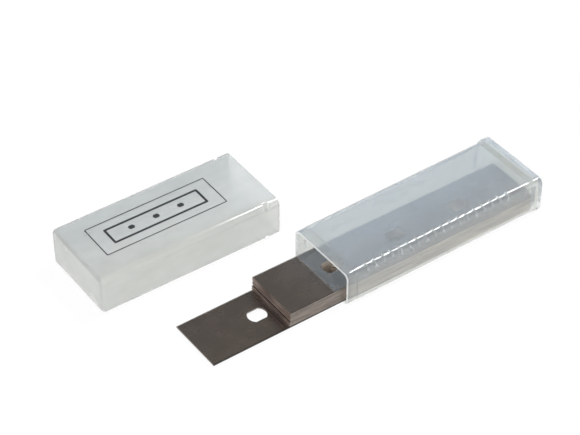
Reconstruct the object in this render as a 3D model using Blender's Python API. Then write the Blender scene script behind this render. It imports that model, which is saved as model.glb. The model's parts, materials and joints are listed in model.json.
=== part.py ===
"""Spare blades for a window scraper, in their two-part slide-off case.

The tray lies flat with its open mouth towards -X. Nine blades lie in it as a stack, and their front
ends stand out of the mouth. A tenth blade under the stack is pulled further out. The cap has been
taken off and lies beside the tray, on its +Y side. Metres, +Z up, with the origin on the table under
the middle of the tray. Every blade slides along the tray, in and out of its mouth, and the cap
slides along its own length, which is the way that it is pushed on and drawn off.
"""

import math

import bmesh
import bpy
from mathutils import Vector

MM = 0.001

# Blades: flat strips with one ground long edge and a row of holes with two flats
BLADE_LENGTH = 100.0 * MM
BLADE_WIDTH = 21.2 * MM
BLADE_THICKNESS = 0.48 * MM
BLADE_AIR = 0.12 * MM
GRIND_WIDTH = 0.5 * MM
GRIND_LAND = 0.1 * MM
HOLE_DIAMETER = 6.6 * MM
HOLE_FLATS = 5.25 * MM
HOLE_PITCH = 26.2 * MM
HOLE_COUNT = 3
HOLE_ARC_STEPS = 8
STACK_COUNT = 9

# How far out the blades lie: the stack past the mouth, and the pulled blade past the stack
STACK_STICK_OUT = 20.9 * MM
BLADE_PULL = 29.3 * MM
STACK_FAN = 0.3 * MM

# Shares of the side play: how far the blades lean to the -Y wall, and how far they then turn
STACK_LEAN_SHARE = 0.745
STACK_TURN_SHARE = 0.79
PULLED_LEAN_SHARE = 0.615
PULLED_TURN_SHARE = 0.24

# Each stacked blade's place from the bottom up, as shares of the fan, positive further out
STACK_FAN_SHARES = (0.9, 0.7, 0.8, -0.5, 0.1, 0.0, -0.2, 0.1, -0.1)

# Tray: room round the blades, its walls and corners, its collar at the closed end, its lip at the
# mouth, how far its sides draw in and its top falls towards the mouth, and the nicks on its -Y edge
TRAY_SIDE_PLAY = 5.5 * MM
TRAY_FLOOR_GAP = 0.15 * MM
TRAY_HEADROOM = 5.6 * MM
TRAY_END_GAP = 0.9 * MM
TRAY_SIDE_WALL = 1.1 * MM
TRAY_FLOOR = 0.85 * MM
TRAY_ROOF = 0.9 * MM
TRAY_END_WALL = 1.2 * MM
TRAY_CORNER = 2.4 * MM
TRAY_FOOT_CORNER = 1.9 * MM
TRAY_INNER_CORNER = 1.6 * MM
TRAY_INNER_FOOT_CORNER = 0.5 * MM
TRAY_END_ROUND = 0.7 * MM
TRAY_COLLAR_LENGTH = 3.3 * MM
TRAY_COLLAR_RAMP = 1.8 * MM
TRAY_COLLAR_RISE = 0.45 * MM
TRAY_LIP_LENGTH = 3.6 * MM
TRAY_LIP_STEP = 0.12 * MM
TRAY_LIP_RAMP = 0.25 * MM
TRAY_DRAFT = 0.14 * MM
TRAY_FALL = 0.35 * MM
RIM_CHAMFER = 0.2 * MM

NICK_FIRST = 7.9 * MM
NICK_LAST_GAP = 8.0 * MM
NICK_PITCH = 3.45 * MM
NICK_WIDTH = 1.1 * MM
NICK_DEPTH = 0.4 * MM

# Cap: its fit over the tray, its walls, and the nick in each of its four long edges
CAP_SIDE_CLEARANCE = 0.35 * MM
CAP_TOP_CLEARANCE = 0.05 * MM
CAP_SIDE_WALL = 1.1 * MM
CAP_TOP_WALL = 0.7 * MM
CAP_END_WALL = 1.2 * MM
CAP_NOSE_GAP = 0.5 * MM
CAP_OVERLAP = 45.6 * MM
CAP_CORNER = 2.3 * MM
CAP_INNER_CORNER = 1.5 * MM
CAP_END_ROUND = 1.5 * MM
CAP_NICK_BACK = 4.8 * MM
CAP_NICK_WIDTH = 2.1 * MM
CAP_NICK_DEPTH = 0.6 * MM
CAP_DRAFT = 0.1 * MM
CAP_LEAD_IN = 0.3 * MM

# Where the cap lies: the gap to the tray's side, how far its open end is past the mouth, its turn
CAP_ASIDE = 12.3 * MM
CAP_PAST_MOUTH = 3.1 * MM
CAP_YAW = math.radians(-0.8)

# Facets, and how far a punch runs past what it cuts
CORNER_STEPS = 6
ROUND_STEPS = 4
NICK_STEPS = 4
OVERRUN = 1.0 * MM

# Sizes that follow
STACK_PITCH = BLADE_THICKNESS + BLADE_AIR
STACK_HEIGHT = STACK_COUNT * STACK_PITCH + BLADE_THICKNESS

TRAY_INNER_WIDTH = BLADE_WIDTH + TRAY_SIDE_PLAY
TRAY_INNER_HEIGHT = TRAY_FLOOR_GAP + STACK_HEIGHT + TRAY_HEADROOM
TRAY_WIDTH = TRAY_INNER_WIDTH + 2 * TRAY_SIDE_WALL
TRAY_HEIGHT = TRAY_FLOOR + TRAY_INNER_HEIGHT + TRAY_ROOF
TRAY_DEPTH = BLADE_LENGTH - STACK_STICK_OUT + TRAY_END_GAP
TRAY_LENGTH = TRAY_DEPTH + TRAY_END_WALL
TRAY_MOUTH_X = -TRAY_LENGTH / 2
TRAY_RAMP_START = TRAY_LENGTH - TRAY_COLLAR_LENGTH - TRAY_COLLAR_RAMP
NICK_COUNT = 1 + int((TRAY_RAMP_START - NICK_FIRST - NICK_LAST_GAP) / NICK_PITCH)

CAP_INNER_WIDTH = TRAY_WIDTH + 2 * CAP_SIDE_CLEARANCE
CAP_INNER_HEIGHT = TRAY_HEIGHT + 2 * CAP_TOP_CLEARANCE
CAP_WIDTH = CAP_INNER_WIDTH + 2 * CAP_SIDE_WALL
CAP_HEIGHT = CAP_INNER_HEIGHT + 2 * CAP_TOP_WALL
CAP_DEPTH = STACK_STICK_OUT + CAP_NOSE_GAP + CAP_OVERLAP
CAP_LENGTH = CAP_DEPTH + CAP_END_WALL


def remove_everything():
    """Empty the scene."""
    for thing in list(bpy.data.objects):
        bpy.data.objects.remove(thing, do_unlink=True)


def principled(name, colour, roughness, metallic, alpha):
    """A Principled material of one plain finish."""
    material = bpy.data.materials.new(name)
    material.use_nodes = True
    shader = material.node_tree.nodes["Principled BSDF"]
    shader.inputs["Base Color"].default_value = (*colour, 1.0)
    shader.inputs["Roughness"].default_value = roughness
    shader.inputs["Metallic"].default_value = metallic
    shader.inputs["Alpha"].default_value = alpha
    return material


def clear_plastic(name):
    """Milky translucent polypropylene."""
    return principled(name, (0.56, 0.60, 0.60), 0.35, 0.0, 0.6)


def blade_steel(name):
    """Dark brown-grey strip steel with a satin face."""
    return principled(name, (0.10, 0.085, 0.072), 0.38, 0.9, 1.0)


def object_from(name, work, material):
    """Close a bmesh into a named object that is smooth but for its real edges."""
    bmesh.ops.recalc_face_normals(work, faces=work.faces)
    mesh = bpy.data.meshes.new(name)
    work.to_mesh(mesh)
    work.free()
    mesh.materials.append(material)
    mesh.shade_smooth()
    mesh.set_sharp_from_angle(angle=math.radians(35))
    thing = bpy.data.objects.new(name, mesh)
    bpy.context.collection.objects.link(thing)
    return thing


def corner_arc(centre_y, centre_z, radius, start, cut):
    """Points of a quarter arc from the angle start; a cut bites into the middle of the arc."""
    points = []
    for step in range(CORNER_STEPS + 1):
        share = step / CORNER_STEPS
        angle = start + share * math.pi / 2
        reach = radius - cut * math.sin(share * math.pi)
        points.append((centre_y + reach * math.cos(angle), centre_z + reach * math.sin(angle)))
    return points


def rounded_section(half_width, bottom, top, radius, foot_radius, cuts=(0.0, 0.0, 0.0, 0.0)):
    """A rounded rectangle; cuts is how deep each corner is nicked, from the upper +Y one round."""
    side = half_width - radius
    foot_side = half_width - foot_radius
    low = bottom + foot_radius
    high = top - radius
    quarter = math.pi / 2
    return (corner_arc(side, high, radius, 0.0, cuts[0])
            + corner_arc(-side, high, radius, quarter, cuts[1])
            + corner_arc(-foot_side, low, foot_radius, 2 * quarter, cuts[2])
            + corner_arc(foot_side, low, foot_radius, 3 * quarter, cuts[3]))


def ring(x, section):
    """Stand a section up at x."""
    return [Vector((x, y, z)) for y, z in section]


def loft(rings):
    """Skin rings of equal count one after another and close both ends: one solid body."""
    work = bmesh.new()
    rows = [[work.verts.new(point) for point in one] for one in rings]
    for first, second in zip(rows, rows[1:]):
        for here in range(len(first)):
            following = (here + 1) % len(first)
            work.faces.new((first[here], first[following], second[following], second[here]))
    work.faces.new(rows[0])
    work.faces.new(rows[-1])
    return work


def tray_draft(x):
    """How much further in each side of the tray stands at x than at its closed end."""
    return TRAY_DRAFT * (1 - x / TRAY_LENGTH)


def tray_top(x):
    """The height of the tray's top at x; it falls a little towards the mouth."""
    return TRAY_HEIGHT - TRAY_FALL * (1 - x / TRAY_LENGTH)


def tray_outside(x, rise=0.0, inset=0.0, cut=0.0):
    """The tray's outer section x behind its mouth; cut is how deep its upper -Y edge is nicked."""
    return ring(TRAY_MOUTH_X + x, rounded_section(
        TRAY_WIDTH / 2 - tray_draft(x) + rise - inset, inset, tray_top(x) + rise - inset,
        TRAY_CORNER - inset, TRAY_FOOT_CORNER - inset, (0.0, cut, 0.0, 0.0)))


def tray_inside(x, flare=0.0):
    """The tray's inner section x behind its mouth."""
    return ring(TRAY_MOUTH_X + x, rounded_section(
        TRAY_INNER_WIDTH / 2 + flare, TRAY_FLOOR - flare, tray_top(x) - TRAY_ROOF + flare,
        TRAY_INNER_CORNER + flare, TRAY_INNER_FOOT_CORNER + flare))


def end_round(radius):
    """Pairs of inset and distance from the end along a rounded end, from the end inwards."""
    pairs = []
    for step in range(ROUND_STEPS + 1):
        angle = math.pi / 2 * step / ROUND_STEPS
        pairs.append((radius * (1 - math.sin(angle)), radius * (1 - math.cos(angle))))
    return pairs


def nick_rings(outside, middle, width, depth):
    """Rings over one nick: its cut swells to its depth and back as half a sine."""
    rings = []
    for step in range(NICK_STEPS + 1):
        share = step / NICK_STEPS
        rings.append(outside(middle + (share - 0.5) * width, cut=depth * math.sin(share * math.pi)))
    return rings


def tray_rings():
    """The tray's skin, from its closed end along the outside to the mouth and back inside."""
    collar_start = TRAY_LENGTH - TRAY_COLLAR_LENGTH
    outside = [tray_outside(TRAY_LENGTH - back, TRAY_COLLAR_RISE, inset)
               for inset, back in end_round(TRAY_END_ROUND)]
    outside.append(tray_outside(collar_start, TRAY_COLLAR_RISE))
    outside.append(tray_outside(TRAY_RAMP_START))
    for number in reversed(range(NICK_COUNT)):
        middle = NICK_FIRST + number * NICK_PITCH
        outside += reversed(nick_rings(tray_outside, middle, NICK_WIDTH, NICK_DEPTH))
    outside.append(tray_outside(TRAY_LIP_LENGTH + TRAY_LIP_RAMP))
    outside.append(tray_outside(TRAY_LIP_LENGTH, inset=TRAY_LIP_STEP))
    outside.append(tray_outside(RIM_CHAMFER, inset=TRAY_LIP_STEP))
    outside.append(tray_outside(0.0, inset=TRAY_LIP_STEP + RIM_CHAMFER))
    inside = [tray_inside(0.0, RIM_CHAMFER), tray_inside(RIM_CHAMFER), tray_inside(TRAY_DEPTH)]
    return outside + inside


def build_tray():
    """The case's lower part, a drafted box open at its mouth."""
    return object_from("case_tray", loft(tray_rings()), clear_plastic("tray_plastic"))


def cap_draft(x):
    """How much narrower each wall of the cap stands at x than at its open end."""
    return CAP_DRAFT * (1 - x / CAP_LENGTH)


def cap_outside(x, inset=0.0, cut=0.0):
    """The cap's outer section x from its closed end; cut is how deep its long edges are nicked."""
    draft = cap_draft(x)
    return ring(x, rounded_section(
        CAP_WIDTH / 2 - draft - inset, inset, CAP_HEIGHT - draft - inset,
        CAP_CORNER - inset, CAP_CORNER - inset, (cut, cut, cut, cut)))


def cap_inside(x, flare=0.0):
    """The cap's inner section x from its closed end."""
    return ring(x, rounded_section(
        CAP_INNER_WIDTH / 2 + flare, CAP_TOP_WALL - flare, CAP_HEIGHT - CAP_TOP_WALL + flare,
        CAP_INNER_CORNER + flare, CAP_INNER_CORNER + flare))


def cap_rings():
    """The cap's skin, from its closed end along the outside to the open end and back inside."""
    outside = [cap_outside(back, inset) for inset, back in end_round(CAP_END_ROUND)]
    outside += nick_rings(cap_outside, CAP_LENGTH - CAP_NICK_BACK, CAP_NICK_WIDTH, CAP_NICK_DEPTH)
    outside.append(cap_outside(CAP_LENGTH - RIM_CHAMFER))
    outside.append(cap_outside(CAP_LENGTH, RIM_CHAMFER))
    inside = [cap_inside(CAP_LENGTH, CAP_LEAD_IN), cap_inside(CAP_LENGTH - CAP_LEAD_IN),
              cap_inside(CAP_END_WALL)]
    return outside + inside


def build_cap():
    """The case's cap, lying beside the tray; its origin is on its slide, at its closed end."""
    cap = object_from("case_cap", loft(cap_rings()), clear_plastic("cap_plastic"))
    length_way = Vector((math.cos(CAP_YAW), math.sin(CAP_YAW), 0.0))
    open_end = Vector((TRAY_MOUTH_X + CAP_PAST_MOUTH, TRAY_WIDTH / 2 + CAP_ASIDE + CAP_WIDTH / 2, 0.0))
    cap.location = open_end - length_way * CAP_LENGTH
    cap.rotation_euler.z = CAP_YAW
    return cap


def blade_profile():
    """The strip's cross-section: square at -Y, ground from both faces to a narrow land at +Y."""
    half = BLADE_WIDTH / 2
    middle = BLADE_THICKNESS / 2
    land = GRIND_LAND / 2
    return [(-half, 0.0), (half - GRIND_WIDTH, 0.0), (half, middle - land), (half, middle + land),
            (half - GRIND_WIDTH, BLADE_THICKNESS), (-half, BLADE_THICKNESS)]


def flatted_hole():
    """A round hole with two flats along the blade: two arcs that the flats join."""
    radius = HOLE_DIAMETER / 2
    half_arc = math.asin(HOLE_FLATS / HOLE_DIAMETER)
    points = []
    for start in (-half_arc, math.pi - half_arc):
        for step in range(HOLE_ARC_STEPS + 1):
            angle = start + 2 * half_arc * step / HOLE_ARC_STEPS
            points.append((radius * math.cos(angle), radius * math.sin(angle)))
    return points


def punch_for_holes():
    """The punches that cut the row of holes, the middle one at the blade's middle."""
    work = bmesh.new()
    for number in range(HOLE_COUNT):
        x = (number - (HOLE_COUNT - 1) / 2) * HOLE_PITCH
        low = [work.verts.new((x + dx, dy, -OVERRUN)) for dx, dy in flatted_hole()]
        face = work.faces.new(low)
        raised = bmesh.ops.extrude_face_region(work, geom=[face])
        lifted = [part for part in raised["geom"] if isinstance(part, bmesh.types.BMVert)]
        bmesh.ops.translate(work, verts=lifted, vec=(0.0, 0.0, BLADE_THICKNESS + 2 * OVERRUN))
    punch = object_from("hole_punch", work, blade_steel("punch_steel"))
    punch.hide_render = True
    punch.display_type = "WIRE"
    return punch


def blade_mesh():
    """One finished blade about its own middle: the ground strip with its holes punched."""
    ends = [ring(side * BLADE_LENGTH / 2, blade_profile()) for side in (-1, 1)]
    strip = object_from("blade_strip", loft(ends), blade_steel("strip_steel"))
    punch = punch_for_holes()
    cut = strip.modifiers.new("holes", "BOOLEAN")
    cut.operation = "DIFFERENCE"
    cut.solver = "EXACT"
    cut.object = punch
    punched = strip.evaluated_get(bpy.context.evaluated_depsgraph_get())
    mesh = bpy.data.meshes.new_from_object(punched)
    mesh.name = "blade"
    bpy.data.objects.remove(strip, do_unlink=True)
    bpy.data.objects.remove(punch, do_unlink=True)
    return mesh


def place_blade(name, mesh, level, out, lean_share, turn_share):
    """Lay a blade in the tray; its front is out past the mouth, and it leans to the -Y wall."""
    half_play = TRAY_SIDE_PLAY / 2
    lean = lean_share * half_play
    drift = turn_share * (half_play - lean)
    yaw = -math.asin(drift / (BLADE_LENGTH / 2))
    blade = bpy.data.objects.new(name, mesh.copy())
    blade.data.name = name
    blade.data.materials.clear()
    blade.data.materials.append(blade_steel(name + "_steel"))
    bpy.context.collection.objects.link(blade)
    height = TRAY_FLOOR + TRAY_FLOOR_GAP + level * STACK_PITCH
    blade.location = (TRAY_MOUTH_X - out + BLADE_LENGTH / 2, -lean, height)
    blade.rotation_euler.z = yaw
    return blade


def build_blades():
    """The pulled blade at the bottom, and the stack of the others over it."""
    mesh = blade_mesh()
    place_blade("blade_01", mesh, 0, STACK_STICK_OUT + BLADE_PULL, PULLED_LEAN_SHARE, PULLED_TURN_SHARE)
    for number in range(STACK_COUNT):
        out = STACK_STICK_OUT + STACK_FAN * STACK_FAN_SHARES[number % len(STACK_FAN_SHARES)]
        place_blade(f"blade_{number + 2:02d}", mesh, number + 1, out, STACK_LEAN_SHARE, STACK_TURN_SHARE)
    bpy.data.meshes.remove(mesh)


def main():
    """Build the whole pack."""
    remove_everything()
    build_tray()
    build_cap()
    build_blades()


main()
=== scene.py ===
"""Looks of a pack of spare window-scraper blades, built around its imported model.

The pack is a two-part slide-off case of milky plastic. Nine dark steel blades lie in the tray as a
stack and stand out of its mouth, a tenth blade under them is drawn further out, and the cap lies
beside the tray. Every piece but the cap's print stands for a CAD node, and each rides on a body of
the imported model. Metres, +Z up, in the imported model's frame.
"""

import json
import logging
import math
from dataclasses import dataclass
from enum import Enum, IntEnum
from typing import Any, Callable, Sequence

import bmesh
import bpy
import numpy as np
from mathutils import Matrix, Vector


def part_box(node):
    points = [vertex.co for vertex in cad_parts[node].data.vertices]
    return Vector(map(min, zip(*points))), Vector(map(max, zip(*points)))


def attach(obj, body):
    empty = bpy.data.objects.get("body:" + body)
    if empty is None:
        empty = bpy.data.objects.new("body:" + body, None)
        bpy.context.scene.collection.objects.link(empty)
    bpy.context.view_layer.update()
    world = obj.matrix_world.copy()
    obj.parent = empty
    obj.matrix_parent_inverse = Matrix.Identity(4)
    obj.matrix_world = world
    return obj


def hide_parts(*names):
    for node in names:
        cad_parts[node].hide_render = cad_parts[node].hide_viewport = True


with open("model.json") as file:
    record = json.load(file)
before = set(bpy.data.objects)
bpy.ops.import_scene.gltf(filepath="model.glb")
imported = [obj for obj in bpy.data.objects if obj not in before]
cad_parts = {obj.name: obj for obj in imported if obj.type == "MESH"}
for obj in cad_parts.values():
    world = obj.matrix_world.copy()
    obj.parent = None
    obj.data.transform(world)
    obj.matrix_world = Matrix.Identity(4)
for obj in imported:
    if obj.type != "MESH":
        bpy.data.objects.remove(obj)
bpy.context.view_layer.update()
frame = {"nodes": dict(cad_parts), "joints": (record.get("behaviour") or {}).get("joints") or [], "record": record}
MOUTH_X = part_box("case_tray")[0][0]

LOG = logging.getLogger("blade_pack")
MM = 0.001
BLADE_WIDTH = 21.2 * MM
RIM_STEPS = 5
OUTLINE_ANGLES = 36
OUTLINE_START = math.radians(5.0)
NEARLY_ZERO = 1e-9
Array = np.ndarray
Colour = tuple[float, float, float]
Place = tuple[float, float, float]


class Slot(Enum):
    """The record's material slots."""

    CASE = "case_plastic"
    STEEL = "blade_steel"


class Face(IntEnum):
    """The kinds of face on a blade, numbered as its steels are."""

    ROLLED = 0
    GROUND = 1
    CUT = 2
    PUNCHED = 3
    SHEARED = 4


class Wire:
    """A shader socket on which Python's operators add Math nodes."""

    def __init__(self, tree: "Tree", socket: bpy.types.NodeSocket) -> None:
        """Hold one output socket and the tree that it belongs to."""
        self.tree = tree
        self.socket = socket

    def _math(self, operation: str, first: Any, second: Any) -> "Wire":
        """Add one Math node on two values or wires and return its result."""
        return self.tree.node("ShaderNodeMath", {"operation": operation}, {0: first, 1: second})

    def __add__(self, other: Any) -> "Wire":
        """Self + other."""
        return self._math("ADD", self, other)

    def __radd__(self, other: Any) -> "Wire":
        """Other + self."""
        return self._math("ADD", other, self)

    def __sub__(self, other: Any) -> "Wire":
        """Self - other."""
        return self._math("SUBTRACT", self, other)

    def __rsub__(self, other: Any) -> "Wire":
        """Other - self."""
        return self._math("SUBTRACT", other, self)

    def __mul__(self, other: Any) -> "Wire":
        """Self * other."""
        return self._math("MULTIPLY", self, other)

    def __rmul__(self, other: Any) -> "Wire":
        """Other * self."""
        return self._math("MULTIPLY", other, self)

    def at_least(self, other: Any) -> "Wire":
        """The larger of self and other."""
        return self._math("MAXIMUM", self, other)

    def spread(self, width: float) -> "Wire":
        """A pattern between 0 and 1, moved to swing about 0 over the given width."""
        return width * (self - 0.5)

    def step_up(self, low: float, high: float) -> "Wire":
        """0 below low and 1 above high, smooth between them."""
        return self.tree.node("ShaderNodeMapRange", {"interpolation_type": "SMOOTHSTEP"},
                              {"Value": self, "From Min": low, "From Max": high})


class Tree:
    """The node tree of one material or of the world.

    A Mix node has sockets of every type, so its colour ones are named here by their numbers.
    """

    MIX_FACTOR, MIX_FIRST, MIX_SECOND, MIX_RESULT = 0, 6, 7, 2

    def __init__(self, owner: bpy.types.ID) -> None:
        """Empty the owner's node tree, ready for new nodes.

        Args:
            owner: a material or a world.
        """
        owner.use_nodes = True
        self.nodes = owner.node_tree.nodes
        self.links = owner.node_tree.links
        self.nodes.clear()

    def node(self, kind: str, settings: dict[str, Any] | None = None,
             sockets: dict[str | int, Any] | None = None, output: str | int = 0) -> Wire:
        """Add a node.

        Args:
            kind: the node's type.
            settings: its properties, set before its sockets.
            sockets: values or wires for its inputs, by name or number.
            output: the output that is returned.

        Returns:
            A wire from that output.
        """
        node = self.nodes.new(kind)
        for name, value in (settings or {}).items():
            setattr(node, name, value)
        for name, value in (sockets or {}).items():
            if isinstance(value, Wire):
                self.links.new(value.socket, node.inputs[name])
            else:
                node.inputs[name].default_value = value
        return Wire(self, node.outputs[output] if node.outputs else None)

    def place(self, source: str, scale: Place = (1.0, 1.0, 1.0)) -> Wire:
        """Coordinates for a pattern, stretched by scale.

        Args:
            source: Object, for places in the part's own frame, or UV, for places on a blade.
            scale: the number of pattern units to a metre along each axis.

        Returns:
            A wire with the stretched coordinates.
        """
        coordinates = self.node("ShaderNodeTexCoord", output=source)
        return self.node("ShaderNodeMapping", None, {"Vector": coordinates, "Scale": scale})

    def axis(self, source: str, name: str) -> Wire:
        """One coordinate in metres, X, Y or Z."""
        return self.node("ShaderNodeSeparateXYZ", None, {0: self.place(source)}, name)

    def noise(self, source: str, scale: Place, detail: float = 2.0) -> Wire:
        """Smooth noise between 0 and 1, with about one bump to each unit of the scaled place."""
        return self.node("ShaderNodeTexNoise", None,
                         {"Vector": self.place(source, scale), "Scale": 1.0, "Detail": detail})

    def blend(self, factor: Any, first: Colour | Wire, second: Colour | Wire) -> Wire:
        """A colour between first and second."""
        first, second = (c if isinstance(c, Wire) else (*c, 1.0) for c in (first, second))
        sockets = {self.MIX_FACTOR: factor, self.MIX_FIRST: first, self.MIX_SECOND: second}
        return self.node("ShaderNodeMix", {"data_type": "RGBA"}, sockets, self.MIX_RESULT)

    def seen_ray(self) -> Wire:
        """Tell the rays that see the white background from those that only light the object.

        Returns:
            A wire that is 1 for camera, glossy and transmitted rays, else 0.
        """
        names = ("Is Camera Ray", "Is Glossy Ray", "Is Transmission Ray")
        camera, glossy, through = (self.node("ShaderNodeLightPath", output=name) for name in names)
        return camera.at_least(glossy).at_least(through)

    def finish(self, shader: Wire, kind: str = "ShaderNodeOutputMaterial") -> None:
        """Connect a shader to the tree's output."""
        self.node(kind, None, {"Surface": shader})


class Skin:
    """A closed surface in the making, gathered from patches that are welded where they meet."""

    WELD = 0.001 * MM

    def __init__(self) -> None:
        """Start with no points."""
        self._points: list[Array] = []
        self._faces: list[list[int]] = []
        self._marks: list[int] = []
        self._count = 0

    def _keep(self, points: Array) -> Array:
        """Store points.

        Args:
            points: a grid of any shape, with x, y and z last.

        Returns:
            The points' numbers, in the grid's shape.
        """
        numbers = np.arange(points[..., 0].size).reshape(points.shape[:-1]) + self._count
        self._points.append(points.reshape(-1, 3))
        self._count += numbers.size
        return numbers

    def grid(self, points: Array, closed: bool = False, mark: int = 0) -> None:
        """Add four-sided faces between the neighbouring rows and columns of a grid.

        Args:
            points: rows x columns x 3.
            closed: whether the last column meets the first again.
            mark: the number of the material.
        """
        index = self._keep(points)
        if closed:
            index = np.concatenate([index, index[:, :1]], axis=1)
        corners = (index[:-1, :-1], index[:-1, 1:], index[1:, 1:], index[1:, :-1])
        faces = np.stack(corners, axis=-1).reshape(-1, 4)
        self._faces += faces.tolist()
        self._marks += [int(mark)] * len(faces)

    def lid(self, loop: Array) -> None:
        """Close a flat loop of points with one face of the first material."""
        self._faces.append(self._keep(loop).tolist())
        self._marks.append(0)

    def shell(self, outside: Array, inside: Array) -> None:
        """Add a shell with both its ends closed; the faces round its rim take the second material.

        Args:
            outside: rings x points around x 3, from the closed end to the rim.
            inside: the same, from the rim to the inner end.
        """
        points = np.concatenate([outside, inside])
        first, last = len(outside) - RIM_STEPS, len(outside) + RIM_STEPS
        self.grid(points[:first + 1], closed=True)
        self.grid(points[first:last], closed=True, mark=1)
        self.grid(points[last - 1:], closed=True)
        self.lid(points[0])
        self.lid(points[-1])

    def slab(self, loop: Array, lower: Array, upper: Array, hollow: Array | None = None) -> None:
        """Add a closed flat slab, solid or with its middle left out.

        Args:
            loop: points around its outer edge x 2.
            lower: the height of its underside at each of these points.
            upper: the height of its top at each of these points.
            hollow: as many points around the middle that is left out, or none for a solid slab.
        """
        low, high = (np.column_stack([loop, z]) for z in (lower, upper))
        if hollow is None:
            self.grid(np.stack([low, high]), closed=True)
            self.lid(low)
            self.lid(high)
            return
        inner_low, inner_high = (np.column_stack([hollow, z]) for z in (lower, upper))
        self.grid(np.stack([low, high, inner_high, inner_low, low]), closed=True)

    def piece(self, name: str, materials: Sequence[bpy.types.Material],
              crease: float = 32.0) -> bpy.types.Object:
        """Weld the patches into one closed object at the origin.

        Args:
            name: the piece's name.
            materials: the materials that the faces' marks count through.
            crease: the turn in degrees past which an edge looks sharp.

        Returns:
            The new object, linked to the scene.
        """
        mesh = bpy.data.meshes.new(name)
        mesh.from_pydata(np.concatenate(self._points), [], self._faces)
        mesh.polygons.foreach_set("material_index", self._marks)
        work = bmesh.new()
        work.from_mesh(mesh)
        bmesh.ops.remove_doubles(work, verts=work.verts, dist=self.WELD)
        bmesh.ops.recalc_face_normals(work, faces=work.faces)
        work.to_mesh(mesh)
        work.free()
        for material in materials:
            mesh.materials.append(material)
        mesh.shade_smooth()
        mesh.set_sharp_from_angle(angle=math.radians(crease))
        piece = bpy.data.objects.new(name, mesh)
        bpy.context.collection.objects.link(piece)
        return piece


def even_angles(count: int) -> Array:
    """Angles at even steps around a full turn."""
    return np.linspace(0.0, 2 * math.pi, count, endpoint=False)


def ways(angle: Array) -> Array:
    """Directions in the plan: (cos a, sin a)."""
    return np.stack([np.cos(angle), np.sin(angle)], axis=-1)


def rounded_outline(half_length: float, half_width: float, radius: float) -> Array:
    """Points around a rounded oblong.

    Formula: the centre of the nearest corner + radius (cos a, sin a), for even angles a that start
    off the axes, so that no point lies between two corners.

    Args:
        half_length: half its size along x.
        half_width: half its size along y.
        radius: its corners' radius.

    Returns:
        Points around x 2.
    """
    way = ways(even_angles(OUTLINE_ANGLES) + OUTLINE_START)
    return np.sign(way) * [half_length - radius, half_width - radius] + radius * way


def flatted_reach(way: Array, radius: float, flats: float) -> Array:
    """Distance from a flatted hole's middle to its edge: radius, or flats / 2 / |sin a| if less."""
    return np.minimum(radius, flats / 2 / np.maximum(np.abs(way[:, 1]), NEARLY_ZERO))


def flatted_outline(radius: float, flats: float) -> Array:
    """Points around a flatted hole: its reach times (cos a, sin a), for even angles a."""
    way = ways(even_angles(OUTLINE_ANGLES))
    return flatted_reach(way, radius, flats)[:, None] * way


def soft_ramp(x: Array, start: float, end: float, soft: float) -> Array:
    """A straight ramp whose two bends are rounded.

    Formula: (hinge(x - start) - hinge(x - end)) / (end - start), where a hinge is 0 on its left, the
    distance on its right, and (t + soft)^2 / (4 soft) within soft of it.

    Args:
        x: places along the piece.
        start: where the ramp leaves 0.
        end: where it reaches 1.
        soft: how far each side of a bend the rounding reaches.

    Returns:
        The height at each place, from 0 to 1.
    """
    def hinge(t: Array) -> Array:
        """One rounded bend at t = 0, from level to a slope of 1."""
        return np.where(t < -soft, 0.0, np.where(t > soft, t, (t + soft) ** 2 / (4 * soft)))

    return (hinge(x - start) - hinge(x - end)) / (end - start)


def nick_cut(x: Array, middle: Array | float, width: float, depth: float) -> Array:
    """How deep a nick is.

    Formula: depth sqrt(cos(pi t)), where t runs from -1/2 to 1/2 across the nick, and 0 outside it.

    Args:
        x: places along the piece.
        middle: the nick's middle, one for all places or one for each.
        width: the nick's width.
        depth: its depth in the middle.

    Returns:
        The depth at each place.
    """
    t = np.clip((x - middle) / width, -0.5, 0.5)
    return depth * np.sqrt(np.clip(np.cos(math.pi * t), 0.0, 1.0))


def nick_places(middle: Array | float, width: float, count: int) -> Array:
    """Places across a nick, closest at its steep ends: middle + width / 2 sin(pi t)."""
    return middle + width / 2 * np.sin(np.linspace(-0.5, 0.5, count) * math.pi)


def end_inset(x: Array, length: float, radius: float) -> Array:
    """How far a rounded end draws a wall in near x = length.

    Formula: radius - sqrt(radius^2 - (x - length + radius)^2) over the last radius, else 0.

    Args:
        x: places along the piece.
        length: where the piece ends.
        radius: the radius of its rounded end.

    Returns:
        The inset at each place.
    """
    run = np.clip(x - length + radius, 0.0, radius)
    return radius - np.sqrt(radius ** 2 - run ** 2)


def end_places(length: float, radius: float, steps: int) -> Array:
    """Places along a rounded end, even in the angle of its quarter circle, up to length."""
    return length - radius * (1 - np.sin(np.linspace(0.0, math.pi / 2, steps + 1)))


def start_places(radius: float, steps: int) -> Array:
    """Places along a rounded start, even in the angle of its quarter circle, from 0."""
    return radius - end_places(radius, radius, steps)[::-1]


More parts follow.
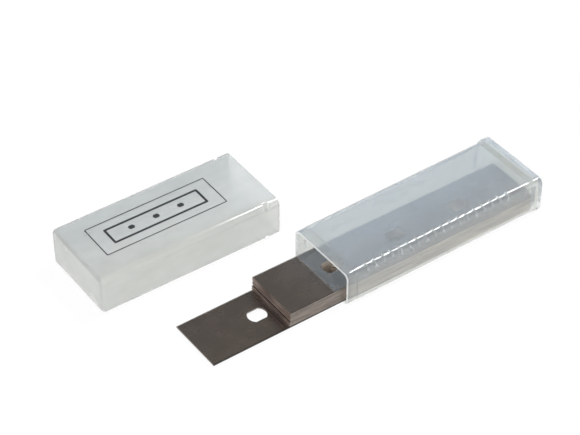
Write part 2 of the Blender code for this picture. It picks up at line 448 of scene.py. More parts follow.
@dataclass(frozen=True)
class Sections:
    """Rounded cross-sections of a moulded box: one entry of each array for each place along it.

    The corners that are nicked are numbered from the upper +Y one on, over the top. HOLD is how far
    from its ends a straight side has its further points.
    """

    x: Array
    half_width: Array
    bottom: Array
    top: Array
    radius: Array
    foot_radius: Array
    cut: Array
    nicked: tuple[int, ...] = ()

    CORNER_STEPS = 14
    HOLD = 0.12 * MM

    def points(self) -> Array:
        """All points of all sections.

        Formula: each corner is a quarter circle about its own centre, (centre + reach cos a,
        centre + reach sin a), where reach is the radius, less cut times sin(pi t) at a nicked
        corner. Each straight side has a further point a little inside both ends, which keeps its
        shading flat.

        Returns:
            Places x points around x 3.
        """
        share = np.linspace(0.0, 1.0, self.CORNER_STEPS + 1)
        corners = []
        for turn in range(4):
            upper = turn < 2
            radius = self.radius if upper else self.foot_radius
            bite = np.sin(math.pi * share) * (turn in self.nicked)
            reach = radius[:, None] - self.cut[:, None] * bite
            angle = (turn + share) * math.pi / 2
            side = 1.0 if turn in (0, 3) else -1.0
            centre_y = side * (self.half_width - radius)
            centre_z = self.top - radius if upper else self.bottom + radius
            corners.append(np.stack([centre_y[:, None] + reach * np.cos(angle),
                                     centre_z[:, None] + reach * np.sin(angle)], axis=-1))
        strips = []
        for corner, following in zip(corners, corners[1:] + corners[:1]):
            first, last = corner[:, -1:], following[:, :1]
            inwards = (last - first) / np.linalg.norm(last - first, axis=-1, keepdims=True) * self.HOLD
            strips += [corner, first + inwards, last - inwards]
        around = np.concatenate(strips, axis=1)
        x = np.broadcast_to(self.x[:, None, None], (*around.shape[:2], 1))
        return np.concatenate([x, around], axis=-1)


@dataclass(frozen=True)
class MilkyPlastic:
    """Translucent polypropylene: warm and blurred to look through, with a cool cloud that glows.

    The wall tints and blurs what shows through it, and clearness is the share of light that it lets
    through. Milk of the cloud's colour is mixed in by cloud_share, but by side_share on the tray's
    -Y side below its roof. A glossy skin lies over the wall. The shading leans across the part, with
    a slope of lean at y = 0 and of bow more for each millimetre from there.
    """

    name: str
    through: Colour = (0.95, 0.95, 0.88)
    cloud: Colour = (0.79, 0.86, 0.93)
    clearness: float = 1.0
    cloud_share: float = 0.25
    side_share: float = 0.30
    blur: float = 0.11
    lean: float = 0.0
    bow: float = 0.0

    INDEX = 1.49
    VEIL_SHARE = 0.5
    SKIN_WEIGHT = 1.0
    SKIN_SATIN = 0.06
    SKIN_INDEX = 1.65
    THIN_SHARE = 0.95
    CLOUD_SCALE = (70.0, 110.0, 110.0)
    CLOUD_LOW = 0.35
    CLOUD_HIGH = 0.65
    CLOUD_SPREAD = 0.12
    BLUR_SPREAD = 0.10
    FLOW_SCALE = (45.0, 160.0, 160.0)
    FLOW_HEIGHT = 0.02
    GRAIN_SCALE = (2600.0, 2600.0, 2600.0)
    GRAIN_SHARE = 0.03
    ROOF_START = 10.0 * MM
    ROOF_END = 12.5 * MM
    SIDE_END = 5.0 * MM

    def material(self) -> bpy.types.Material:
        """Make the material, with cloud, satin and a slight unevenness in part coordinates.

        Returns:
            The material, a mix of the clear wall and the milk.
        """
        material = bpy.data.materials.new(self.name)
        tree = Tree(material)
        cloud = tree.noise("Object", self.CLOUD_SCALE)
        flow = tree.noise("Object", self.FLOW_SCALE, 1.0)
        grain = tree.noise("Object", self.GRAIN_SCALE, 1.0)
        y = tree.axis("Object", "Y") * (1 / MM)
        across = y * (y * (self.bow / 2) + self.lean)
        height = (flow + grain * self.GRAIN_SHARE) * self.FLOW_HEIGHT - across
        bump = tree.node("ShaderNodeBump", None, {"Height": height, "Distance": MM})
        thin = tuple(self.THIN_SHARE * c for c in self.through)
        body = tree.node("ShaderNodeBsdfPrincipled", None, {
            "Base Color": tree.blend(cloud.step_up(self.CLOUD_LOW, self.CLOUD_HIGH), thin, self.through),
            "Roughness": self.blur + cloud.spread(self.BLUR_SPREAD),
            "IOR": self.INDEX,
            "Transmission Weight": self.clearness,
            "Coat Weight": self.SKIN_WEIGHT,
            "Coat Roughness": self.SKIN_SATIN,
            "Coat IOR": self.SKIN_INDEX,
            "Normal": bump,
        })
        glow, veil = (tree.node(kind, None, {"Color": (*self.cloud, 1.0), "Normal": bump})
                      for kind in ("ShaderNodeBsdfTranslucent", "ShaderNodeBsdfDiffuse"))
        milk = tree.node("ShaderNodeMixShader", None, {0: self.VEIL_SHARE, 1: glow, 2: veil})
        roof = tree.axis("Object", "Z").step_up(self.ROOF_START, self.ROOF_END)
        roof = roof.at_least(tree.axis("Object", "Y").step_up(0.0, self.SIDE_END))
        share = self.side_share + (self.cloud_share - self.side_share) * roof
        share = share + cloud.spread(self.CLOUD_SPREAD)
        tree.finish(tree.node("ShaderNodeMixShader", None, {0: share, 1: body, 2: milk}))
        return material


@dataclass(frozen=True)
class Steel:
    """Dark oiled strip steel; its grain runs along the blade.

    Its colour wanders from dark to light with the oil's film. A factor under 1 darkens the colour by
    that much on what stands out of the tray's mouth at rest: painted shade, while the steel inside
    the tray keeps its lighter colour as painted light from the tray's glowing walls. A width above 0
    gives a line along the blade's unground edge whose colour is painted dark as shade, and whose oil
    coat is thinner.
    """

    name: str
    dark: Colour
    light: Colour
    satin: float = 0.42
    oil: float = 1.0
    oil_index: float = 2.7
    oil_satin: float = 0.07
    metal: float = 1.0
    painted_edge_shade: float = 0.0
    painted_outside_shade: float = 1.0

    GRAIN_SCALE = (60.0, 2600.0, 1.0)
    GRAIN_DEPTH = 0.012 * MM
    GRAIN_STRENGTH = 0.15
    GRAIN_SPREAD = 0.06
    FILM_SCALE = (90.0, 130.0, 1.0)
    FILM_LOW = 0.3
    FILM_HIGH = 0.7
    FILM_SPREAD = 0.05
    DETAIL = 3.0
    EDGE_Y = -BLADE_WIDTH / 2
    PAINTED_EDGE_SHADE_SHARE = 0.15
    EDGE_OIL = 0.3
    PAINTED_LIGHT_START = MOUTH_X - 1.0 * MM
    PAINTED_LIGHT_END = MOUTH_X + 4.0 * MM

    def material(self) -> bpy.types.Material:
        """Make the material, with rolling grain, an uneven oil film, painted shade along the unground edge and
        outside the tray's mouth, and painted light inside it.

        Returns:
            The material, which reads the blade's own UV map in metres.
        """
        material = bpy.data.materials.new(self.name)
        tree = Tree(material)
        rolled = tree.noise("UV", self.GRAIN_SCALE, self.DETAIL)
        film = tree.noise("UV", self.FILM_SCALE, self.DETAIL)
        bump = tree.node("ShaderNodeBump", None, {
            "Height": rolled, "Distance": self.GRAIN_DEPTH, "Strength": self.GRAIN_STRENGTH})
        # Painted shade: 1 on the blade, falling to 0 in a dark line along its unground edge, where the oil coat is
        # also thinner.
        inside = 1.0
        if self.painted_edge_shade:
            inside = tree.axis("UV", "Y").step_up(self.EDGE_Y, self.EDGE_Y + self.painted_edge_shade)
        streak = film.step_up(self.FILM_LOW, self.FILM_HIGH)
        colour = tree.blend(streak, self.dark, self.light)
        # Painted shade on the steel that stands out of the tray's mouth; the steel inside keeps the lighter
        # colour, painted light from the tray's glowing walls.
        if self.painted_outside_shade < 1.0:
            painted_shade_colours = (tuple(self.painted_outside_shade * c for c in colour) for colour in (self.dark, self.light))
            painted_light_inside = tree.axis("Object", "X").step_up(self.PAINTED_LIGHT_START, self.PAINTED_LIGHT_END)
            colour = tree.blend(painted_light_inside, tree.blend(streak, *painted_shade_colours), colour)
        # The colour of the painted shade along the unground edge.
        edge = tuple(self.PAINTED_EDGE_SHADE_SHARE * c for c in self.dark)
        shader = tree.node("ShaderNodeBsdfPrincipled", None, {
            "Base Color": tree.blend(inside, edge, colour),
            "Metallic": self.metal,
            "Roughness": self.satin + rolled.spread(self.GRAIN_SPREAD) + film.spread(self.FILM_SPREAD),
            "Coat Weight": self.oil * (self.EDGE_OIL + (1 - self.EDGE_OIL) * inside),
            "Coat Roughness": self.oil_satin,
            "Coat IOR": self.oil_index,
            "Normal": bump,
        })
        tree.finish(shader)
        return material


@dataclass(frozen=True)
class PrintInk:
    """Opaque black print with a slightly uneven film."""

    name: str
    colour: Colour = (0.012, 0.012, 0.013)
    satin: float = 0.45
    satin_spread: float = 0.2
    mottle_gain: float = 2.0
    mottle_scale: Place = (900.0, 900.0, 900.0)

    def material(self) -> bpy.types.Material:
        """Make the material, with a fine mottle in colour and satin.

        Returns:
            The material, whose mottle lies in part coordinates.
        """
        material = bpy.data.materials.new(self.name)
        tree = Tree(material)
        mottle = tree.noise("Object", self.mottle_scale)
        mottled = tuple(self.mottle_gain * c for c in self.colour)
        shader = tree.node("ShaderNodeBsdfPrincipled", None, {
            "Base Color": tree.blend(mottle, self.colour, mottled),
            "Roughness": self.satin + self.satin_spread * mottle,
        })
        tree.finish(shader)
        return material


TRAY_PLASTIC = MilkyPlastic("tray_plastic", side_share=0.16, lean=0.039, bow=0.0025)
CAP_PLASTIC = MilkyPlastic("cap_plastic", through=(0.97, 0.97, 0.92), cloud=(0.70, 0.725, 0.725),
                           clearness=0.95, cloud_share=0.30, blur=0.22)
# Painted glow: the rim is a whiter, milkier copy of the plastic, standing for the light that the walls carry out
# to their cut rim.
PAINTED_GLOW_RIM_PLASTIC = MilkyPlastic("rim_painted_glow_plastic", through=(0.97, 0.98, 0.95), cloud=(0.95, 0.97, 1.0),
                           clearness=0.30, cloud_share=0.35, blur=0.3)
BARE_CUT = {"satin": 0.5, "oil": 0.2, "oil_index": 1.5, "oil_satin": 0.3}
STEELS = {
    # The rolled faces get a painted shade along their unground edge.
    Face.ROLLED: Steel("rolled_steel", (0.106, 0.078, 0.056), (0.131, 0.097, 0.071),
                       painted_edge_shade=0.45 * MM),
    Face.GROUND: Steel("ground_steel", (0.22, 0.20, 0.18), (0.28, 0.26, 0.23), satin=0.35, oil=0.3),
    Face.CUT: Steel("cut_steel", (0.16, 0.115, 0.095), (0.33, 0.24, 0.20), metal=0.5, **BARE_CUT),
    Face.PUNCHED: Steel("punched_steel", (0.66, 0.57, 0.49), (0.74, 0.65, 0.56), metal=0.2,
                        **BARE_CUT),
    # The sheared walls' light colour is painted light from the tray's glowing walls; the factor below darkens it
    # to painted shade outside the mouth.
    Face.SHEARED: Steel("sheared_steel", (0.46, 0.39, 0.335), (0.88, 0.755, 0.65), metal=0.5,
                        painted_outside_shade=0.37, **BARE_CUT),
}


def put(piece: bpy.types.Object, node: str, body: str) -> bpy.types.Object:
    """Let a piece stand for a CAD node and ride on its body.

    Args:
        piece: the finished piece.
        node: the CAD node that it replaces, or an empty name for none.
        body: the body that it rides on.

    Returns:
        The piece.
    """
    if node:
        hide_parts(node)
    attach(piece, body)
    LOG.info("%s: %d faces, on %s", piece.name, len(piece.data.polygons), body)
    return piece


def turned(points: Array, yaw: float) -> Array:
    """Points turned about +Z.

    Formula: (x cos - y sin, x sin + y cos, z).

    Args:
        points: any number of points, with x, y and z last.
        yaw: the turn in radians, anticlockwise seen from above.

    Returns:
        The turned points, in the same shape.
    """
    cos, sin = math.cos(yaw), math.sin(yaw)
    turn = np.array([[cos, sin, 0.0], [-sin, cos, 0.0], [0.0, 0.0, 1.0]])
    return points @ turn


def lay(piece: bpy.types.Object, laid: Callable[[Array], Array]) -> None:
    """Move the points of a piece's mesh to their place.

    Args:
        piece: a piece whose mesh is still in its own frame.
        laid: what takes points x 3 from that frame to their place.
    """
    points = np.empty(len(piece.data.vertices) * 3)
    piece.data.vertices.foreach_get("co", points)
    piece.data.vertices.foreach_set("co", laid(points.reshape(-1, 3)).ravel())
    piece.data.update()


@dataclass
class Tray:
    """The case's lower part: a drafted box with a lip, nicks and a collar, open at its mouth."""

    finish: MilkyPlastic
    painted_rim_glow: MilkyPlastic
    side_wall: float = 1.1 * MM
    floor: float = 0.85 * MM
    roof: float = 0.9 * MM
    end_wall: float = 1.2 * MM
    corner: float = 2.4 * MM
    foot_corner: float = 1.9 * MM
    inner_corner: float = 1.6 * MM
    inner_foot_corner: float = 0.5 * MM
    end_round: float = 0.7 * MM
    inner_end_round: float = 0.5 * MM
    collar_length: float = 3.3 * MM
    collar_ramp: float = 1.8 * MM
    collar_rise: float = 0.45 * MM
    lip_length: float = 3.6 * MM
    lip_step: float = 0.12 * MM
    lip_ramp: float = 0.25 * MM
    draft: float = 0.14 * MM
    fall: float = 0.35 * MM
    rim_round: float = 0.22 * MM
    bend: float = 0.12 * MM
    nick_first: float = 7.9 * MM
    nick_pitch: float = 3.45 * MM
    nick_width: float = 1.1 * MM
    nick_depth: float = 0.42 * MM
    nick_count: int = 18

    BEND_PLACES = 7
    NICK_PLACES = 13
    END_STEPS = 8
    INNER_END_STEPS = 6
    NICKED = (1,)

    def __post_init__(self) -> None:
        """Take the overall sizes from the CAD node's box."""
        low, high = (np.array(corner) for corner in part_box("case_tray"))
        self.mouth_x = low[0]
        self.length = high[0] - low[0]
        self.half_width = (high[1] - low[1]) / 2 - self.collar_rise
        self.height = high[2] - low[2] - self.collar_rise
        self.depth = self.length - self.end_wall

    def laid(self, points: Array) -> Array:
        """Points of the tray's own frame, in which x runs from its mouth, in their place."""
        return points + [self.mouth_x, 0.0, 0.0]

    def top(self, x: Array) -> Array:
        """The height of the top at x; it falls a little from the closed end towards the mouth."""
        return self.height - self.fall * (1 - x / self.length)

    def nicks(self, x: Array) -> Array:
        """How deep the upper -Y edge is nicked at x, by the nearest nick of the row."""
        number = np.clip(np.round((x - self.nick_first) / self.nick_pitch), 0, self.nick_count - 1)
        return nick_cut(x, self.nick_first + number * self.nick_pitch, self.nick_width, self.nick_depth)

    def outside_places(self) -> Array:
        """Where the outer sections stand: close together where the profile bends.

        Returns:
            Rising places from the mouth to the closed end.
        """
        collar = self.length - self.collar_length
        ramp = collar - self.collar_ramp
        bends = np.array([ramp, collar, self.lip_length, self.lip_length + self.lip_ramp])
        around_bends = bends[:, None] + self.bend * np.linspace(-1.0, 1.0, self.BEND_PLACES)
        middles = self.nick_first + self.nick_pitch * np.arange(self.nick_count)[:, None]
        return np.unique(np.concatenate([
            start_places(self.rim_round, RIM_STEPS), around_bends.ravel(),
            nick_places(middles, self.nick_width, self.NICK_PLACES).ravel(),
            end_places(self.length, self.end_round, self.END_STEPS)]))

    def outside(self) -> Array:
        """The outer surface from the closed end to the mouth.

        Formula: the collar's soft ramp adds to the tray's height and half width, and the rounded
        ends and the lip's soft step take from them. The first ring lies in the end's own plane, a
        little further in, which keeps its shading flat.

        Returns:
            Places x points around x 3.
        """
        x = self.outside_places()[::-1]
        collar = self.length - self.collar_length
        rise = self.collar_rise * soft_ramp(x, collar - self.collar_ramp, collar, self.bend)
        lip = self.lip_step * (1 - soft_ramp(x, self.lip_length, self.lip_length + self.lip_ramp,
                                             self.bend / 2))
        inset = end_inset(x, self.length, self.end_round) + end_inset(-x, 0.0, self.rim_round) + lip
        x = np.concatenate([x[:1], x])
        rise = np.concatenate([rise[:1], rise])
        inset = np.concatenate([inset[:1] + Sections.HOLD, inset])
        draft = self.draft * (1 - x / self.length)
        return Sections(
            x, self.half_width - draft + rise - inset, inset, self.top(x) + rise - inset,
            self.corner - inset, self.foot_corner - inset, self.nicks(x), self.NICKED).points()

    def inside(self) -> Array:
        """The inner surface from the mouth to the inner end.

        Formula: the outer surface less its walls, wider round the rim and drawn in at the inner
        end, whose last ring lies a little further in.

        Returns:
            Places x points around x 3.
        """
        x = np.concatenate([start_places(self.rim_round, RIM_STEPS),
                            end_places(self.depth, self.inner_end_round, self.INNER_END_STEPS)])
        inset = end_inset(x, self.depth, self.inner_end_round) - end_inset(-x, 0.0, self.rim_round)
        x = np.append(x, x[-1])
        inset = np.append(inset, inset[-1] + Sections.HOLD)
        half_width = self.half_width - self.side_wall - inset
        return Sections(
            x, half_width, self.floor + inset, self.top(x) - self.roof - inset,
            self.inner_corner - np.minimum(inset, 0.0), self.inner_foot_corner - np.minimum(inset, 0.0),
            np.zeros_like(x)).points()

    def build(self) -> bpy.types.Object:
        """Make the tray and put it in its place.

        Returns:
            The tray.
        """
        skin = Skin()
        skin.shell(self.laid(self.outside()), self.laid(self.inside()))
        # The faces round the rim take the painted glow.
        finishes = [self.finish.material(), self.painted_rim_glow.material()]
        return put(skin.piece("tray_shell", finishes), "case_tray", "tray")


@dataclass
class Cap:
    """The case's cap: a box whose four long edges are each nicked near its open end."""

    finish: MilkyPlastic
    painted_rim_glow: MilkyPlastic
    side_wall: float = 1.1 * MM
    top_wall: float = 0.7 * MM
    end_wall: float = 1.2 * MM
    corner: float = 2.3 * MM
    inner_corner: float = 1.5 * MM
    end_round: float = 1.5 * MM
    inner_end_round: float = 0.8 * MM
    nick_back: float = 4.8 * MM
    nick_width: float = 2.1 * MM
    nick_depth: float = 0.6 * MM
    draft: float = 0.1 * MM
    rim_round: float = 0.22 * MM
    length: float = 68.2 * MM
    width: float = 31.8 * MM

    NICK_PLACES = 21
    END_STEPS = 12
    INNER_END_STEPS = 6
    NICKED = (0, 1, 2, 3)

    def __post_init__(self) -> None:
        """Take the cap's turn from its slide, and its height and place from the CAD node's box."""
        slide = next(joint for joint in frame["joints"] if joint["name"] == "cap_slide")
        self.yaw = math.atan2(slide["axis"][1], slide["axis"][0])
        low, high = (np.array(corner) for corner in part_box("case_cap"))
        self.height = high[2] - low[2]
        self.half_width = self.width / 2
        self.shift = low - turned(self.outside(), self.yaw).min(axis=(0, 1))

    def laid(self, points: Array) -> Array:
        """Points of the cap's own frame, in which x runs from its closed end, in their place."""
        return turned(points, self.yaw) + self.shift

    def top(self, x: Array) -> Array:
        """The height of the top at x; it rises a little from the closed end to the open one."""
        return self.height - self.draft * (1 - x / self.length)

    def outside(self) -> Array:
        """The outer surface from the closed end to the open end.

        Formula: the cap's sizes less its draft and its rounded ends. The first ring lies in the
        end's own plane, a little further in, which keeps its shading flat.

        Returns:
            Places x points around x 3.
        """
        nick = self.length - self.nick_back
        x = np.unique(np.concatenate([
            start_places(self.end_round, self.END_STEPS),
            nick_places(nick, self.nick_width, self.NICK_PLACES),
            end_places(self.length, self.rim_round, RIM_STEPS)]))
        inset = end_inset(-x, 0.0, self.end_round) + end_inset(x, self.length, self.rim_round)
        x = np.concatenate([x[:1], x])
        inset = np.concatenate([inset[:1] + Sections.HOLD, inset])
        draft = self.draft * (1 - x / self.length)
        radius = self.corner - inset
        return Sections(
            x, self.half_width - draft - inset, inset, self.top(x) - inset, radius, radius,
            nick_cut(x, nick, self.nick_width, self.nick_depth), self.NICKED).points()

    def inside(self) -> Array:
        """The inner surface from the open end to the inner end.

        Formula: the full sizes less the walls, wider round the rim and drawn in at the inner end,
        whose last ring lies a little further in.

        Returns:
            Places x points around x 3.
        """
        rim = end_places(self.length, self.rim_round, RIM_STEPS)[::-1]
        end = self.end_wall + start_places(self.inner_end_round, self.INNER_END_STEPS)[::-1]
        x = np.concatenate([rim, end])
        inset = (end_inset(-x, -self.end_wall, self.inner_end_round)
                 - end_inset(x, self.length, self.rim_round))
        x = np.append(x, x[-1])
        inset = np.append(inset, inset[-1] + Sections.HOLD)
        radius = self.inner_corner - np.minimum(inset, 0.0)
        return Sections(
            x, self.half_width - self.side_wall - inset, self.top_wall + inset,
            self.height - self.top_wall - inset, radius, radius, np.zeros_like(x)).points()

    def build(self) -> bpy.types.Object:
        """Make the cap and put it in its place.

        Returns:
            The cap.
        """
        skin = Skin()
        skin.shell(self.laid(self.outside()), self.laid(self.inside()))
        # The faces round the rim take the painted glow.
        finishes = [self.finish.material(), self.painted_rim_glow.material()]
        return put(skin.piece("cap_shell", finishes), "case_cap", "cap")


@dataclass
class Label:
    """The cap's print: the outline of a blade with its three holes, in a thin-lined frame.

    It is a film that stands out of the cap's top and reaches a little into it.
    """

    cap: Cap
    ink: PrintInk
    middle: tuple[float, float] = (31.0 * MM, 1.0 * MM)
    half_length: float = 23.0 * MM
    half_width: float = 7.4 * MM
    blade_half_length: float = 18.0 * MM
    blade_half_width: float = 3.9 * MM
    corner: float = 0.5 * MM
    line: float = 0.38 * MM
    blade_line: float = 0.85 * MM
    hole_radius: float = 1.15 * MM
    hole_flats: float = 1.85 * MM
    hole_pitch: float = 9.4 * MM
    hole_count: int = 3
    film: float = 0.01 * MM
    depth: float = 0.04 * MM

    def ring(self, skin: Skin, half_length: float, half_width: float, line: float) -> None:
        """Print the outline of an oblong.

        Args:
            skin: the surface that it is added to.
            half_length: half the oblong's size along x.
            half_width: half its size along y.
            line: the width of its line.
        """
        loop = rounded_outline(half_length, half_width, self.corner) + self.middle
        hollow = rounded_outline(half_length - line, half_width - line, self.corner / 2) + self.middle
        top = self.cap.top(loop[:, 0])
        skin.slab(loop, top - self.depth, top + self.film, hollow)

    def hole(self, skin: Skin, x: float) -> None:
        """Print one flatted hole of the blade.

        Args:
            skin: the surface that it is added to.
            x: the hole's place along the blade, from its middle.
        """
        loop = flatted_outline(self.hole_radius, self.hole_flats) + [x, 0.0] + self.middle
        top = self.cap.top(loop[:, 0])
        skin.slab(loop, top - self.depth, top + self.film)

    def build(self) -> bpy.types.Object:
        """Make the print and put it on the cap.

        Returns:
            The print.
        """
        skin = Skin()
        self.ring(skin, self.half_length, self.half_width, self.line)
        self.ring(skin, self.blade_half_length, self.blade_half_width, self.blade_line)
        for number in range(self.hole_count):
            self.hole(skin, (number - (self.hole_count - 1) / 2) * self.hole_pitch)
        piece = skin.piece("cap_print", [self.ink.material()])
        lay(piece, self.cap.laid)
        return put(piece, "", "cap")


@dataclass
class Blade:
    """One flat steel blade with a ground long edge and a row of flatted holes."""

    node: str
    body: str
    steels: Sequence[bpy.types.Material]
    end: Face = Face.CUT
    hole: Face = Face.PUNCHED
    foot: Face = Face.SHEARED
    length: float = 100.0 * MM
    width: float = BLADE_WIDTH
    grind_width: float = 0.5 * MM
    grind_land: float = 0.1 * MM
    hole_diameter: float = 6.6 * MM
    hole_flats: float = 5.25 * MM
    hole_pitch: float = 26.2 * MM
    hole_count: int = 3

    CREASE = 12.0
    ANGLES = 72
    APART = math.radians(1.2)
    RING_SHARES = (0.0, 0.12, 1.0)
    DECIMALS = 9
    PATTERN_PITCH = 0.37

    def __post_init__(self) -> None:
        """Take the blade's place, thickness and turn from the CAD node's box."""
        low, high = (np.array(corner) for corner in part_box(self.node))
        self.thickness = high[2] - low[2]
        self.middle = np.array([(low[0] + high[0]) / 2, (low[1] + high[1]) / 2, low[2]])
        across = (high[1] - low[1]) / math.hypot(self.length, self.width)
        self.yaw = -(math.asin(across) - math.atan2(self.width, self.length))
        self.grind_y = self.width / 2 - self.grind_width

    def laid(self, points: Array) -> Array:
        """Points about the blade's own middle, in their place."""
        return turned(points, self.yaw) + self.middle

    def cell_reach(self, way: Array) -> Array:
        """Distance from a hole's middle to the oblong that surrounds it, up to the ground strip.

        Formula: the smaller of half the pitch / |cos a| and the edge's distance / |sin a|.

        Args:
            way: directions from the hole's middle.

        Returns:
            The distance in each direction.
        """
        cos, sin = way.T
        side = self.hole_pitch / 2 / np.maximum(np.abs(cos), NEARLY_ZERO)
        limit = np.where(sin > 0, self.grind_y, self.width / 2)
        return np.minimum(side, limit / np.maximum(np.abs(sin), NEARLY_ZERO))

    def angles(self) -> Array:
        """Angles of directions from a hole's middle.

        Returns:
            Rising angles: the flats' ends, the oblong's corners and even ones apart from these.
        """
        even = even_angles(self.ANGLES)
        flat_end = math.asin(self.hole_flats / self.hole_diameter)
        upper = math.atan2(self.grind_y, self.hole_pitch / 2)
        lower = math.atan2(self.width / 2, self.hole_pitch / 2)
        special = np.array([flat_end, math.pi - flat_end, math.pi + flat_end, -flat_end,
                            upper, math.pi - upper, math.pi + lower, -lower]) % (2 * math.pi)
        apart = np.abs((even[:, None] - special + math.pi) % (2 * math.pi) - math.pi).min(axis=1)
        return np.sort(np.concatenate([even[apart > self.APART], special]))

    def height(self, plan: Array) -> tuple[Array, Array]:
        """The heights of the blade's faces, which close in over the ground strip.

        Formula: half the thickness, plus and minus half the land and t times the rest, where t
        runs from 0 at the ground edge to 1 across the ground strip.

        Args:
            plan: points of the plan, with x and y last.

        Returns:
            The heights of the lower and the upper face over them.
        """
        t = np.clip((self.width / 2 - plan[..., 1]) / self.grind_width, 0.0, 1.0)
        upper = self.thickness / 2 + self.grind_land / 2 + (self.thickness - self.grind_land) / 2 * t
        return self.thickness - upper, upper

    def faces(self, skin: Skin, plan: Array, closed: bool = False, mark: Face = Face.ROLLED) -> None:
        """Lay the upper and the lower face over a grid of points of the plan."""
        for z in self.height(plan):
            skin.grid(np.concatenate([plan, z[..., None]], axis=-1), closed, mark)

    def wall(self, skin: Skin, plan: Array, mark: Face, closed: bool = False) -> None:
        """Stand a wall between the lower and the upper face along a line of points of the plan."""
        rows = [np.concatenate([plan, z[:, None]], axis=-1) for z in self.height(plan)]
        skin.grid(np.stack(rows), closed, mark)

    @staticmethod
    def on_line(plan: Array, axis: int, place: float) -> Array:
        """The other coordinate of those points of the plan that lie at a place of one axis."""
        return plan[np.abs(plan[:, axis] - place) < NEARLY_ZERO][:, 1 - axis]

    def single(self, values: Sequence[Array]) -> Array:
        """Rising values, each only once."""
        return np.unique(np.round(np.concatenate(values), self.DECIMALS))

    def skin(self) -> Skin:
        """Gather the blade's surface about its own middle.

        Formula: around each hole the plan is middle + ((1 - s) hole reach + s oblong reach) times
        the direction, for s from 0 to 1. Plain strips close the ends and the ground edge.

        Returns:
            The surface.
        """
        skin = Skin()
        way = ways(self.angles())
        inner = flatted_reach(way, self.hole_diameter / 2, self.hole_flats)
        outer = self.cell_reach(way)
        share = np.array(self.RING_SHARES)[:, None]
        reach = (1 - share) * inner + share * outer
        side = self.single([self.on_line(outer[:, None] * way, 0, self.hole_pitch / 2)])
        tips = np.array([-self.length / 2, self.length / 2])
        foot_x, grind_x = [tips], [tips]
        for number in range(self.hole_count):
            middle = np.array([(number - (self.hole_count - 1) / 2) * self.hole_pitch, 0.0])
            cell = middle + reach[..., None] * way
            self.faces(skin, cell, closed=True)
            self.wall(skin, cell[0], self.hole, closed=True)
            foot_x.append(self.on_line(cell[-1], 1, -self.width / 2))
            grind_x.append(self.on_line(cell[-1], 1, self.grind_y))
        foot_x, grind_x = self.single(foot_x), self.single(grind_x)
        cells_end = self.hole_count * self.hole_pitch / 2
        for sign in (-1, 1):
            x = np.array([cells_end, self.length / 2]) * sign
            self.faces(skin, np.stack(np.meshgrid(x, side, indexing="ij"), axis=-1))
            rim = np.concatenate([side, [self.width / 2]])
            self.wall(skin, np.stack([np.full_like(rim, x[1]), rim], axis=-1), self.end)
        strip = np.stack(np.meshgrid(grind_x, [self.grind_y, self.width / 2], indexing="ij"), axis=-1)
        self.faces(skin, strip, mark=Face.GROUND)
        self.wall(skin, strip[:, 1], Face.GROUND)
        foot = np.stack([foot_x, np.full_like(foot_x, -self.width / 2)], axis=-1)
        self.wall(skin, foot, self.foot)
        return skin

    def map_faces(self, piece: bpy.types.Object, number: int) -> None:
        """Give the piece a UV map in metres along and across the blade, moved on for each blade.

        Args:
            piece: the blade, still about its own middle.
            number: the blade's number, which decides how far its map is moved on.
        """
        mesh = piece.data
        layer = mesh.uv_layers.new(name="along_blade")
        corner = np.empty(len(mesh.loops), np.int32)
        mesh.loops.foreach_get("vertex_index", corner)
        place = np.empty(len(mesh.vertices) * 3, np.float32)
        mesh.vertices.foreach_get("co", place)
        plan = place.reshape(-1, 3)[corner, :2] + [self.PATTERN_PITCH * number, 0.0]
        layer.uv.foreach_set("vector", plan.astype(np.float32).ravel())

    def build(self, number: int) -> bpy.types.Object:
        """Make the blade, map it and put it in its place.

        Args:
            number: the blade's number from the bottom up, from 0.

        Returns:
            The blade.
        """
        piece = self.skin().piece(self.node.replace("blade", "steel_blade"), self.steels, self.CREASE)
        self.map_faces(piece, number)
        lay(piece, self.laid)
        return put(piece, self.node, self.body)


def aim(thing: bpy.types.Object, place: Place, target: Place) -> None:
    """Link a lamp or a camera to the scene, at its place and turned towards its target.

    Args:
        thing: the lamp's or the camera's object.
        place: where it stands.
        target: the point that it looks at.
    """
    thing.location = place
    away = thing.location - Vector(target)
    thing.rotation_euler = away.to_track_quat("Z", "Y").to_euler()
    bpy.context.collection.objects.link(thing)


@dataclass(frozen=True)
class Lamp:
    """An oblong soft lamp that points at the pack; its power is in watts."""

    name: str
    place: Place
    size: tuple[float, float]
    power: float
    target: Place = (-0.03, 0.02, 0.0)

    def build(self) -> None:
        """Make the lamp and hang it in its place."""
        light = bpy.data.lights.new(self.name, "AREA")
        light.shape = "RECTANGLE"
        light.size, light.size_y = self.size
        light.energy = self.power
        aim(bpy.data.objects.new(self.name, light), self.place, self.target)


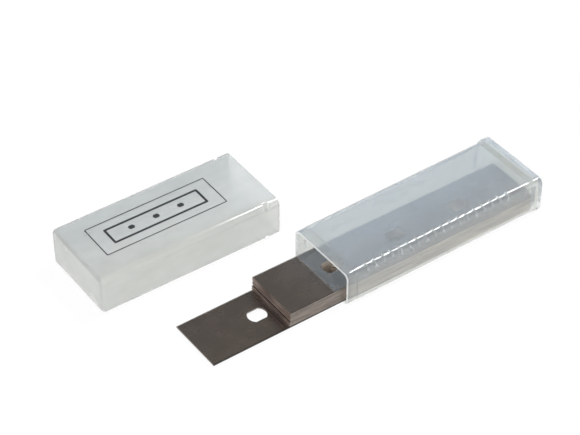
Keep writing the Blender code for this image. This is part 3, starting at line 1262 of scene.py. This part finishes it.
@dataclass(frozen=True)
class Studio:
    """A pale floor, soft light and the camera at the photograph's angle.

    The world is white up to white_top and turns into its upper part up to upper_start, both as the
    sine of the height above the horizon. The upper part is a dim ceiling with a pale blue window on
    its +Y side. The window's top edge climbs with the distance along Y by window_rise, and by
    step_rise more beyond the plane where x is step_place times the height.
    """

    camera_place: Place = (-0.33384, -0.38753, 0.45051)
    camera_target: Place = (-0.02995, 0.03175, 0.0)
    lens: float = 126.86
    floor_size: float = 6.0
    floor_grey: float = 0.85
    floor_glow: float = 0.92
    sky: float = 0.38
    ceiling: Colour = (0.12, 0.1164, 0.1128)
    white_top: float = 0.35
    upper_start: float = 0.6
    window: Colour = (0.72, 0.94, 1.25)
    window_rise: float = math.tan(math.radians(46.5))
    window_soft: float = 0.002
    step_rise: float = 0.094
    step_place: float = 0.666
    lamps: tuple[Lamp, ...] = (
        Lamp("overhead", (0.52, 0.05, 0.85), (0.25, 0.4), 5.8),
        Lamp("side", (-0.9, -0.3, 0.6), (0.5, 0.5), 4.0),
        Lamp("front", (-0.35, -0.95, 0.4), (0.5, 0.5), 3.2),
        Lamp("back", (-0.5, -0.1, 0.95), (0.2, 0.2), 1.8),
    )

    def build(self) -> None:
        """Make the floor, the world, the lamps and the camera."""
        self.build_floor()
        self.build_world()
        for lamp in self.lamps:
            lamp.build()
        self.build_camera()
        bpy.context.scene.view_settings.view_transform = "Standard"

    def build_floor(self) -> None:
        """Make a large white floor that keeps the object's shadow."""
        half = self.floor_size / 2
        corners = half * np.array([[-1, -1, 0], [1, -1, 0], [1, 1, 0], [-1, 1, 0]])
        mesh = bpy.data.meshes.new("floor")
        mesh.from_pydata(corners, [], [[0, 1, 2, 3]])
        material = bpy.data.materials.new("floor_white")
        tree = Tree(material)
        grey = (self.floor_grey, self.floor_grey, self.floor_grey, 1.0)
        lit = tree.node("ShaderNodeBsdfDiffuse", None, {"Color": grey})
        bright = tree.node("ShaderNodeBsdfDiffuse", None, {"Color": (1.0, 1.0, 1.0, 1.0)})
        glow = tree.node("ShaderNodeEmission", None, {"Strength": 1.0})
        white = tree.node("ShaderNodeMixShader", None, {0: self.floor_glow, 1: bright, 2: glow})
        tree.finish(tree.node("ShaderNodeMixShader", None, {0: tree.seen_ray(), 1: lit, 2: white}))
        mesh.materials.append(material)
        floor = bpy.data.objects.new("floor", mesh)
        bpy.context.collection.objects.link(floor)

    def build_world(self) -> None:
        """Make the world that is seen and mirrored, and the even light that it gives."""
        world = bpy.data.worlds.new("studio")
        bpy.context.scene.world = world
        tree = Tree(world)
        way = tree.node("ShaderNodeTexCoord", output="Generated")
        across, depth, height = (tree.node("ShaderNodeSeparateXYZ", None, {0: way}, output=name)
                                 for name in "XYZ")
        beyond = (across - height * self.step_place).step_up(0.0, self.window_soft)
        over = height - depth * (self.window_rise + self.step_rise * beyond)
        over = over.step_up(-self.window_soft, self.window_soft)
        upper = tree.blend(over, self.window, self.ceiling)
        seen = tree.blend(height.step_up(self.white_top, self.upper_start), (1.0, 1.0, 1.0), upper)
        colour = tree.blend(tree.seen_ray(), (self.sky, self.sky, self.sky), seen)
        background = tree.node("ShaderNodeBackground", None, {"Color": colour, "Strength": 1.0})
        tree.finish(background, "ShaderNodeOutputWorld")

    def build_camera(self) -> None:
        """Make the camera, at the place and lens that the photograph's edges give."""
        camera = bpy.data.cameras.new("camera")
        camera.lens = self.lens
        thing = bpy.data.objects.new("camera", camera)
        aim(thing, self.camera_place, self.camera_target)
        bpy.context.scene.camera = thing


def main() -> None:
    """Build the studio and every piece of the pack."""
    logging.basicConfig(level=logging.INFO, format="%(message)s")
    Studio().build()
    Tray(TRAY_PLASTIC, PAINTED_GLOW_RIM_PLASTIC).build()
    cap = Cap(CAP_PLASTIC, PAINTED_GLOW_RIM_PLASTIC)
    cap.build()
    Label(cap, PrintInk("print_ink")).build()
    steels = [STEELS[face].material() for face in Face]
    bodies = {nodes[0]: body for body, nodes in frame["record"]["behaviour"]["bodies"].items()}
    blades = sorted(node for node in frame["nodes"] if node.startswith("blade"))
    # The drawn blade, which comes first, takes the dark, oiled rolled finish on its ends, hole walls and foot too,
    # which paints shade along its walls.
    painted_shade_walls = {"end": Face.ROLLED, "hole": Face.ROLLED, "foot": Face.ROLLED}
    for number, node in enumerate(blades):
        Blade(node, bodies[node], steels, **({} if number else painted_shade_walls)).build(number)


if __name__ == "__main__":
    main()
